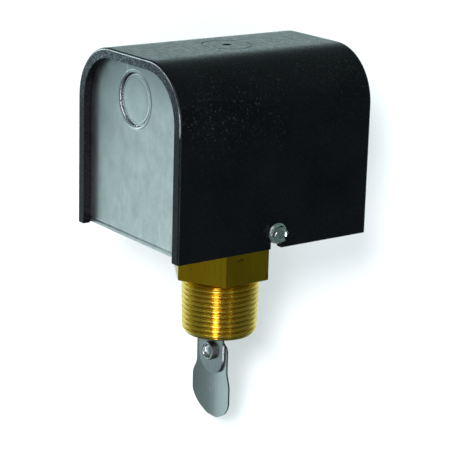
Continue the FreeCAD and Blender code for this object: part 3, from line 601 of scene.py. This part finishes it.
HX = hexr(6.35, 8.0)
for side, tag in ((-1, "front"), (1, "back")):
    rows = [(0, -8.0), (1.3, -8.0)]
    zt = -7.6
    while zt < -0.75:
        rows += [(1.62, zt), (2.04, zt + 0.32), (2.04, zt + 0.40)]
        zt += 0.79
    rows += [(2.04, -0.2), (2.04, 0.02), (4.25, 0.02), (4.38, 0.12), (4.4, 0.3), (4.4, 0.55), (4.30, 0.78), (4.05, 0.93)]
    rows += [(lambda a: HX(a) + 0.22, 1.05), (lambda a: HX(a) + 0.03, 1.22), (HX, 1.5), (HX, 2.85)]
    rows += [(lambda a: HX(a) - 0.06, 3.10), (lambda a: HX(a) - 0.22, 3.30), (lambda a: HX(a) * 0.5 + 1.28, 3.38),
             (2.52, 3.34), (2.34, 3.16), (2.14, 2.86), (1.9, 2.74), (1.0, 2.70), (0, 2.69)]
    pl = screw_place(side)
    v, f = grid(rows, 96, pl)
    o = finish("cover_screw_" + tag, v, f, "screw_zinc", "housing", 30, ("cover_screws",))
    ca, sa = math.cos(rad(-38)), math.sin(rad(-38))
    box = []
    for h in (2.1, 4.2):
        for x, y in ((-5, -0.55), (5, -0.55), (5, 0.55), (-5, 0.55)):
            box.append(pl(x * ca - y * sa, x * sa + y * ca, h))
    drilled(o, box, [(0, 1, 2, 3), (4, 5, 6, 7), (0, 1, 5, 4), (1, 2, 6, 5), (2, 3, 7, 6), (3, 0, 4, 7)])

# ------------------------------------------------------------------ knockouts: rolled edge of the hole, slug pushed in
KO_R, KO_Z = 11.1, 79.4
PLATE = {-1: 44.65, 1: 43.75}
for side, tag in ((-1, "left"), (1, "right")):
    def edge_place(x, y, h, s=side):
        return Vector((s * (PLATE[s] + h), x, KO_Z + y)) * MM

    def wave(a, k=side):
        return 0.035 * math.sin(3 * a + k) + 0.03 * math.sin(5 * a + 1.0)
    # burr thrown up round the hole by the punch, highest low on one side
    def lift(a):
        return 0.17 + 0.07 * max(0.0, math.cos(a + rad(38)))
    rim = [(10.95, -1.3), (10.95, -0.50), (10.97, -0.34), (11.03, -0.19), (11.13, -0.07), (lambda a: 11.28 + wave(a), 0.03),
           (lambda a: 11.45 + wave(a), lambda a: lift(a) * 0.72), (lambda a: 11.62 + wave(a), lambda a: lift(a)),
           (lambda a: 11.80 + wave(a), lambda a: lift(a) * 0.92), (lambda a: 12.10 + wave(a), lambda a: lift(a) * 0.45),
           (lambda a: 12.42 + wave(a), lambda a: -0.02), (12.45, -0.5), (12.0, -1.3)]
    v, f = grid(rim, 160, edge_place, loop=True)
    finish("knockout_rim_" + tag, v, f, "galvanised_rim", "housing", 60)

    # the slug leans a little: pushed deeper on the side away from its tie
    def lean(h):
        return lambda a: h - 0.08 * math.sin(a)
    slug = [(0, -0.66), (5.0, lean(-0.66)), (8.3, lean(-0.66)), (8.8, lean(-0.68)), (9.15, lean(-0.70)), (9.45, lean(-0.64)),
            (9.75, lean(-0.62)), (10.05, lean(-0.66)), (10.4, lean(-0.78)), (10.7, lean(-0.92)), (10.82, lean(-1.10)), (10.82, -1.32), (0, -1.32)]
    v, f = grid(slug, 160, edge_place)
    finish("knockout_slug_" + tag, v, f, "galvanised_rim", "housing", 60, ("knockout_slugs",))
    tie = [(0, 0.02), (0.45, -0.01), (0.85, -0.16), (1.10, -0.5), (1.15, -1.25), (0, -1.25)]
    v, f = grid(tie, 28, lambda x, y, h, s=side: Vector((s * (PLATE[s] + h + 0.10 * math.sin(x * 3)), x * 0.95, KO_Z - 11.0 + y * 0.85)) * MM)
    finish("knockout_tie_" + tag, v, f, "galvanised_rim", "housing", 50)

# ------------------------------------------------------------------ range spring: closed ends, five open coils
AX = -24.0
SP0, SP1, WIRE, MEAN = 29.05, 37.62, 0.35, 3.45
pts = []
TURNS, CLOSED = 6.4, 0.75
N = 44
for i in range(int(TURNS * N) + 1):
    t = i / N
    if t < CLOSED:
        z = SP0 + WIRE + 0.30 * t
    elif t > TURNS - CLOSED:
        z = SP1 - WIRE - 0.30 * (TURNS - t)
    else:
        a0, a1 = SP0 + WIRE + 0.30 * CLOSED, SP1 - WIRE - 0.30 * CLOSED
        z = a0 + (a1 - a0) * (t - CLOSED) / (TURNS - 2 * CLOSED)
    a = 2 * math.pi * t
    pts.append((AX + MEAN * math.cos(a), MEAN * math.sin(a), z))
v, f = tube_path(pts, WIRE)
spring = finish("range_spring_wire", v, f, "spring_steel", "housing", 60, ("range_spring",))
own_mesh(spring)


# ------------------------------------------------------------------ threaded pieces
def rod_rows(r, z0, z1, pitch, depth, step=0.09):
    rows, z = [], z0
    k = int((z1 - z0) / step)

    def fr(zz):
        def g(a):
            ph = zz / pitch - a / (2 * math.pi)
            t = abs(ph - round(ph)) * 2
            e = min(1.0, (zz - z0) / pitch + 0.05, (z1 - zz) / pitch + 0.05)
            return r - depth * min(max((t - 0.12) / 0.76, 0), 1) * min(1.0, e + 0.55)
        return g
    for i in range(k + 1):
        zz = z0 + (z1 - z0) * i / k
        rows.append((fr(zz), zz))
    return rows


TILT = Matrix.Translation((0, 0, 0.034)) @ Matrix.Rotation(rad(1.8), 4, "Y") @ Matrix.Translation((0, 0, -0.034))


def tilted(x, y, h):
    return TILT @ (Vector((x, y, h)) * MM)


rows = [(0, 36.02), (1.3, 36.02)] + rod_rows(1.57, 36.2, 45.6, 0.8, 0.30) + [(1.25, 45.95), (0, 45.98)]
v, f = grid(rows, 48, tilted)
finish("lever_stud_thread", v, f, "stainless_bright", "paddle_arm", 40, ("lever_stud",))

rows = [(0, 21.75), (1.45, 21.75), (1.48, 22.0), (1.48, 23.06), (2.8, 23.06), (2.98, 23.25), (2.98, 24.25), (2.8, 24.42), (1.9, 24.45)]
rows += rod_rows(1.94, 24.6, 42.8, 0.7, 0.28) + [(1.9, 42.98), (3.0, 43.0), (3.28, 43.25), (3.28, 44.4), (3.05, 45.0), (2.4, 45.32), (1.2, 45.38), (0, 45.38)]
v, f = grid(rows, 64, at(AX, 0, 0))
adj = finish("adjusting_screw_thread", v, f, "zinc_plate", "adjuster", 34, ("adjusting_screw",))
box = [Vector((AX + x, y, z)) * MM for z in (44.2, 46.2) for x, y in ((-0.5, -5), (0.5, -5), (0.5, 5), (-0.5, 5))]
drilled(adj, box, [(0, 1, 2, 3), (4, 5, 6, 7), (0, 1, 5, 4), (1, 2, 6, 5), (2, 3, 7, 6), (3, 0, 4, 7)])

# ------------------------------------------------------------------ stage: one pale sheet that sweeps up behind
view = Vector((-back.x, -back.y, 0)).normalized()
side_v = Vector((view.y, -view.x, 0))
FLOOR_Z = cad_lo.z - 0.012
bm = bmesh.new()
prof = [(-3.0, 0.0), (-0.6, 0.0), (-0.1, 0.0), (-0.02, 0.0)]
RW = 0.085
for i in range(1, 17):
    a = rad(90 * i / 16)
    prof.append((-0.02 + RW * math.sin(a), RW * (1 - math.cos(a))))
prof += [(-0.02 + RW, 0.3), (-0.02 + RW, 0.8), (-0.02 + RW, 1.6)]
grid_v = []
for d, h in prof:
    grid_v.append([bm.verts.new(view * d + side_v * s + Vector((0, 0, FLOOR_Z + h))) for s in (-3.0, -1.0, -0.3, 0.3, 1.0, 3.0)])
for a, b in zip(grid_v, grid_v[1:]):
    for i in range(5):
        bm.faces.new((a[i], b[i], b[i + 1], a[i + 1]))
bm.normal_update()
me = bpy.data.meshes.new("floor")
bm.to_mesh(me)
bm.free()
if me.polygons[0].normal.z < 0:
    me.flip_normals()
for p in me.polygons:
    p.use_smooth = True
floor = bpy.data.objects.new("floor", me)
scene.collection.objects.link(floor)
fm = bpy.data.materials.new("floor_paper")
fm.use_nodes = True
nt = fm.node_tree
fb = nt.nodes["Principled BSDF"]
fb.inputs["Base Color"].default_value = (0.45, 0.45, 0.45, 1)
fb.inputs["Roughness"].default_value = 0.9
fb.inputs["Specular IOR Level"].default_value = 0.0
fb.inputs["Emission Color"].default_value = (0.89, 1.0, 1.0, 1)
fb.inputs["Emission Strength"].default_value = 0.40
geo = nt.nodes.new("ShaderNodeNewGeometry")
tr = nt.nodes.new("ShaderNodeBsdfTransparent")
mx = nt.nodes.new("ShaderNodeMixShader")
out = nt.nodes["Material Output"]
nt.links.new(geo.outputs["Backfacing"], mx.inputs[0])
nt.links.new(fb.outputs[0], mx.inputs[1])
nt.links.new(tr.outputs[0], mx.inputs[2])
nt.links.new(mx.outputs[0], out.inputs["Surface"])
me.materials.append(fm)
floor.visible_glossy = False
floor.visible_shadow = False

# ------------------------------------------------------------------ surroundings: bright behind, dim at the front and sides
world = bpy.data.worlds.new("world")
scene.world = world
world.use_nodes = True
wt = world.node_tree
bg = wt.nodes["Background"]
tc = wt.nodes.new("ShaderNodeTexCoord")
sep = wt.nodes.new("ShaderNodeSeparateXYZ")
wt.links.new(tc.outputs["Generated"], sep.inputs[0])


def wmath(kind, a, b=None):
    n = wt.nodes.new("ShaderNodeMath")
    n.operation = kind
    for i, v in enumerate((a, b)):
        if v is None:
            continue
        if isinstance(v, (int, float)):
            n.inputs[i].default_value = v
        else:
            wt.links.new(v, n.inputs[i])
    return n.outputs[0]


def wramp(fac, stops, interp="LINEAR"):
    n = wt.nodes.new("ShaderNodeValToRGB")
    n.color_ramp.interpolation = interp
    e = n.color_ramp.elements
    for i, (pos, val) in enumerate(stops):
        if i < 2:
            el = e[i]
            el.position = pos
        else:
            el = e.new(pos)
        val = val if isinstance(val, tuple) else (val * 0.76, val, val * 1.01)
        el.color = (*val, 1)
    wt.links.new(fac, n.inputs[0])
    return n.outputs[0]


def azn(deg):
    return (deg + 180.0) / 360.0


az = wmath("ADD", wmath("DIVIDE", wmath("ARCTAN2", sep.outputs[1], sep.outputs[0]), 2 * math.pi), 0.5)
el = wmath("ADD", wmath("DIVIDE", wmath("ARCSINE", sep.outputs[2]), math.pi), 0.5)
low = wramp(az, [(azn(-180), 0.17), (azn(-160), 0.21), (azn(-126), 0.11), (azn(-88), 0.105), (azn(-54), 0.11), (azn(-25), 0.13),
                 (azn(-8), 0.45), (azn(6), 1.0), (azn(60), 1.05), (azn(116), 1.05), (azn(121.5), 0.92), (azn(124.5), 0.42),
                 (azn(150), 0.25), (azn(180), 0.17)])
high = wt.nodes.new("ShaderNodeRGB")
high.outputs[0].default_value = (0.15, 0.20, 0.205, 1)
mixe = wt.nodes.new("ShaderNodeMix")
mixe.data_type = "RGBA"
wt.links.new(wramp(el, [((90 - 52) / 180, (1, 1, 1)), ((90 - 34) / 180, (0, 0, 0)), ((90 + 17) / 180, (0, 0, 0)), ((90 + 27) / 180, (1, 1, 1))]), mixe.inputs["Factor"])
wt.links.new(low, mixe.inputs[6])
wt.links.new(high.outputs[0], mixe.inputs[7])
card_az = wramp(az, [(azn(88), (0, 0, 0)), (azn(98), (1, 1, 1)), (azn(134), (1, 1, 1)), (azn(142), (0, 0, 0))])
card_el = wramp(el, [((90 + 2) / 180, (0, 0, 0)), ((90 + 9) / 180, (1, 1, 1)), ((90 + 15) / 180, (1, 1, 1)), ((90 + 21) / 180, (0, 0, 0))])
card = wmath("MULTIPLY", wmath("MULTIPLY", card_az, card_el), 1.1)
cadd = wt.nodes.new("ShaderNodeMix")
cadd.data_type = "RGBA"
cadd.blend_type = "ADD"
wt.links.new(card, cadd.inputs["Factor"])
wt.links.new(mixe.outputs[2], cadd.inputs[6])
cadd.inputs[7].default_value = (0.85, 1.0, 1.0, 1)
wt.links.new(cadd.outputs[2], bg.inputs[0])
bg.inputs[1].default_value = 1.0
scene.view_settings.view_transform = "Standard"


def area(name, pos, target, size, power, color=(1, 1, 1), glossy=True, diffuse=True):
    d = bpy.data.lights.new(name, "AREA")
    d.shape = "RECTANGLE"
    d.size, d.size_y = size
    d.energy = power
    d.color = color
    o = bpy.data.objects.new(name, d)
    o.location = pos
    o.rotation_mode = "QUATERNION"
    o.rotation_quaternion = (Vector(target) - Vector(pos)).to_track_quat("-Z", "Y")
    scene.collection.objects.link(o)
    o.visible_glossy = glossy
    o.visible_diffuse = diffuse
    return o


def polar(az_deg, dist, z):
    return (dist * math.cos(rad(az_deg)), dist * math.sin(rad(az_deg)), z)


# narrow tall strip that the turned brass and the screw heads pick up
area("strip_main", polar(-137.5, 0.86, 0.16), (0, 0, 0.0), (0.13, 2.0), 6.9, (1.0, 0.93, 1.10))
area("strip_weak", polar(-93, 0.9, 0.10), (0, 0, 0.0), (0.04, 1.0), 0.30, (1.0, 0.95, 0.92))

# small soft panel high on the left, for the knockout's rolled edge
area("panel_high", (0.80 * math.cos(rad(-169)), 0.80 * math.sin(rad(-169)), 0.80), (-0.04, 0, 0.08), (0.34, 0.34), 1.0, (0.88, 1.0, 1.0))

# soft light for the sheet and the shadow only
SUN_AZ, SUN_EL, SUN_E = rad(-137.5), rad(26.5), 2.6
SUN_DIR = Vector((math.cos(SUN_AZ) * math.cos(SUN_EL), math.sin(SUN_AZ) * math.cos(SUN_EL), math.sin(SUN_EL)))
sd = bpy.data.lights.new("key_soft", "SUN")
sd.energy = SUN_E
sd.angle = rad(15)
so = bpy.data.objects.new("key_soft", sd)
so.rotation_mode = "QUATERNION"
so.rotation_quaternion = (-SUN_DIR).to_track_quat("-Z", "Y")
scene.collection.objects.link(so)
so.visible_glossy = False

# the sheet glows a little so that it reads as white paper, less where the soft light already reaches it
gn = nt.nodes.new("ShaderNodeVectorMath")
gn.operation = "DOT_PRODUCT"
nt.links.new(geo.outputs["Normal"], gn.inputs[0])
gn.inputs[1].default_value = SUN_DIR
mr = nt.nodes.new("ShaderNodeMapRange")
mr.inputs["From Min"].default_value = 0.0
mr.inputs["From Max"].default_value = 1.0
mr.inputs["To Min"].default_value = 0.80
mr.inputs["To Max"].default_value = 0.80 - 0.45 * SUN_E / math.pi
nt.links.new(gn.outputs["Value"], mr.inputs["Value"])
nt.links.new(mr.outputs["Result"], fb.inputs["Emission Strength"])
